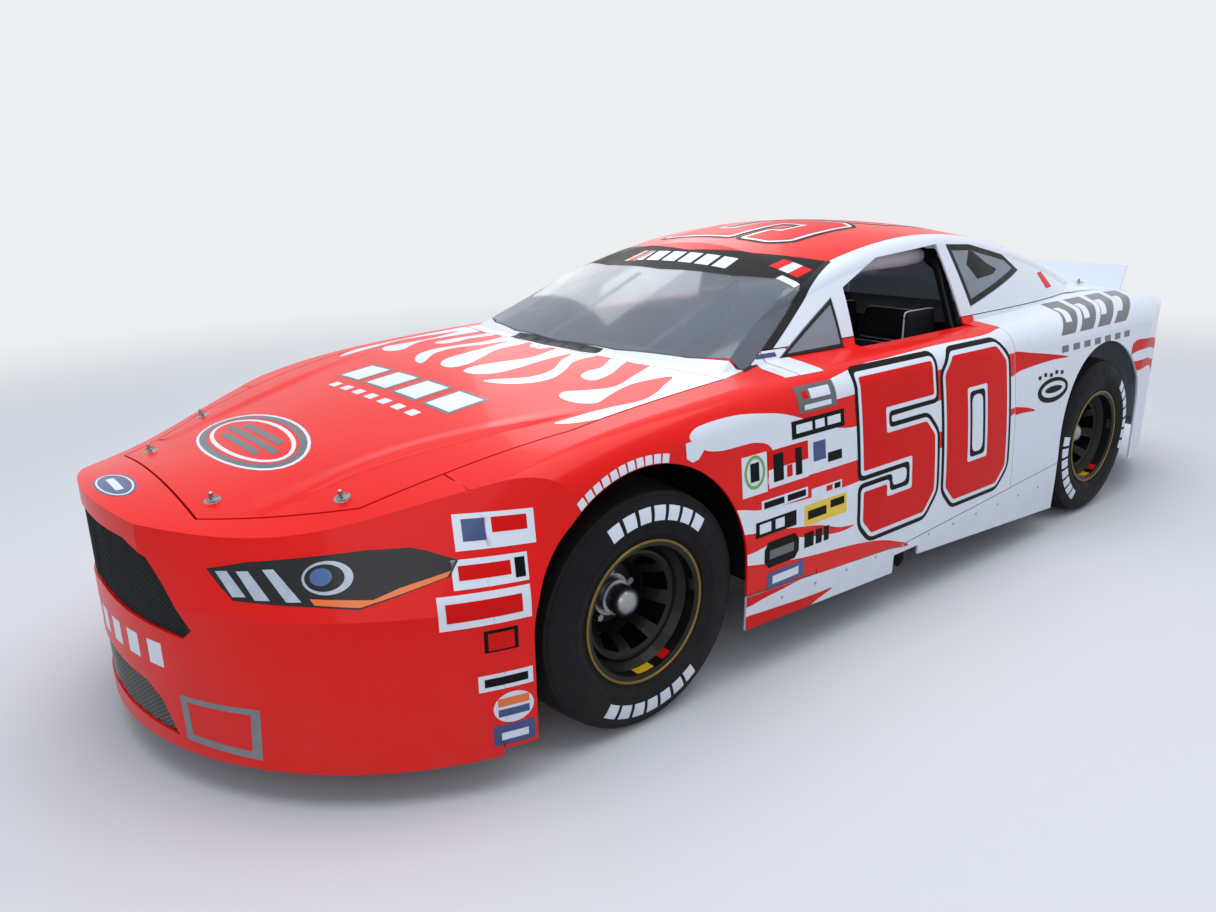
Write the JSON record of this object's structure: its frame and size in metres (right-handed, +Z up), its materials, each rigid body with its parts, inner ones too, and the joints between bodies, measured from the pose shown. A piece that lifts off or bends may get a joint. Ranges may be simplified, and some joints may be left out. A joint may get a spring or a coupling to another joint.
{
  "type": "stock car",
  "caption": "Closed-wheel circuit racing stock car with a painted shell, roll cage, opening hood and trunk lid, steered front wheels and rolling slicks.",
  "frame": {"origin": "on the floor under the middle of the car", "axes": "+X to the car's left, +Y to the tail, +Z up"},
  "size_m": [1.9, 4.94, 1.3027],
  "materials": {
    "bodywork": "gloss",
    "glazing": "clear",
    "frame_steel": "satin",
    "sheet_metal": "satin",
    "tyre": "matt",
    "wheel": "gloss",
    "hub_metal": "satin",
    "cast_metal": "rough",
    "spring_steel": "gloss",
    "moulding": "matt",
    "seat_shell": "satin",
    "exhaust_steel": "satin"
  },
  "bodies": {
    "chassis": {"cage_cross_bars": "frame_steel", "coil_springs": "spring_steel", "cowl_panel": "bodywork", "cross_members": "frame_steel", "dashboard": "moulding", "door_bars": "frame_steel", "driver_seat": "seat_shell", "driveshaft": "sheet_metal", "engine": "cast_metal", "exhaust_pipes": "exhaust_steel", "floor_tub": "sheet_metal", "frame_rails": "frame_steel", "front_grilles": "moulding", "fuel_cell": "sheet_metal", "gearbox": "sheet_metal", "left_door": "bodywork", "left_fender": "bodywork", "left_quarter_panel": "bodywork", "left_side_frame": "bodywork", "main_hoop": "frame_steel", "nose_cover": "bodywork", "radiator": "sheet_metal", "rear_axle": "cast_metal", "rear_braces": "frame_steel", "rear_bumper": "bodywork", "rear_window": "glazing", "right_door": "bodywork", "right_fender": "bodywork", "right_quarter_panel": "bodywork", "right_side_frame": "bodywork", "rocker_skirts": "bodywork", "roof_bars": "frame_steel", "roof_panel": "bodywork", "side_glass": "glazing", "steering_column": "hub_metal", "suspension_arms": "frame_steel", "windscreen": "glazing"},
    "hood": {"hood": "bodywork"},
    "trunk_lid": {"deck_lid": "bodywork", "rear_spoiler": "bodywork"},
    "left_upright": {"left_knuckle": "cast_metal"},
    "right_upright": {"right_knuckle": "cast_metal"},
    "steering_wheel": {"steering_wheel": "moulding"},
    "left_front_roller": {"left_front_wheel": "wheel", "left_front_tyre": "tyre", "left_front_hub": "hub_metal"},
    "left_rear_roller": {"left_rear_wheel": "wheel", "left_rear_tyre": "tyre", "left_rear_hub": "hub_metal"},
    "right_front_roller": {"right_front_wheel": "wheel", "right_front_tyre": "tyre", "right_front_hub": "hub_metal"},
    "right_rear_roller": {"right_rear_wheel": "wheel", "right_rear_tyre": "tyre", "right_rear_hub": "hub_metal"}
  },
  "joints": [
    {"name": "hood_hinge", "type": "hinge", "parent": "chassis", "child": "hood", "pos_m": [0, -0.862, 0.905], "axis": [-1, 0, 0], "range_deg": [0, 55]},
    {"name": "trunk_hinge", "type": "hinge", "parent": "chassis", "child": "trunk_lid", "pos_m": [0, 1.62, 1.115], "axis": [1, 0, 0], "range_deg": [0, 60]},
    {"name": "left_steer", "type": "hinge", "parent": "chassis", "child": "left_upright", "pos_m": [0.645, -1.3335, 0.349], "axis": [0, 0, 1], "range_deg": [-24, 24]},
    {"name": "right_steer", "type": "hinge", "parent": "chassis", "child": "right_upright", "pos_m": [-0.645, -1.3335, 0.349], "axis": [0, 0, 1], "range_deg": [-24, 24]},
    {"name": "steering_wheel_turn", "type": "hinge", "parent": "chassis", "child": "steering_wheel", "pos_m": [0.375, -0.29164, 0.77138], "axis": [0, 0.9341, 0.357], "range_deg": [-288, 288]},
    {"name": "left_front_spin", "type": "hinge", "parent": "left_upright", "child": "left_front_roller", "pos_m": [0.79, -1.3335, 0.349], "axis": [1, 0, 0], "continuous": true},
    {"name": "left_rear_spin", "type": "hinge", "parent": "chassis", "child": "left_rear_roller", "pos_m": [0.79, 1.3335, 0.349], "axis": [1, 0, 0], "continuous": true},
    {"name": "right_front_spin", "type": "hinge", "parent": "right_upright", "child": "right_front_roller", "pos_m": [-0.79, -1.3335, 0.349], "axis": [1, 0, 0], "continuous": true},
    {"name": "right_rear_spin", "type": "hinge", "parent": "chassis", "child": "right_rear_roller", "pos_m": [-0.79, 1.3335, 0.349], "axis": [1, 0, 0], "continuous": true}
  ],
  "couplings": [
    {"joint": "right_steer", "follows": "left_steer", "ratio": 1},
    {"joint": "steering_wheel_turn", "follows": "left_steer", "ratio": 12}
  ]
}
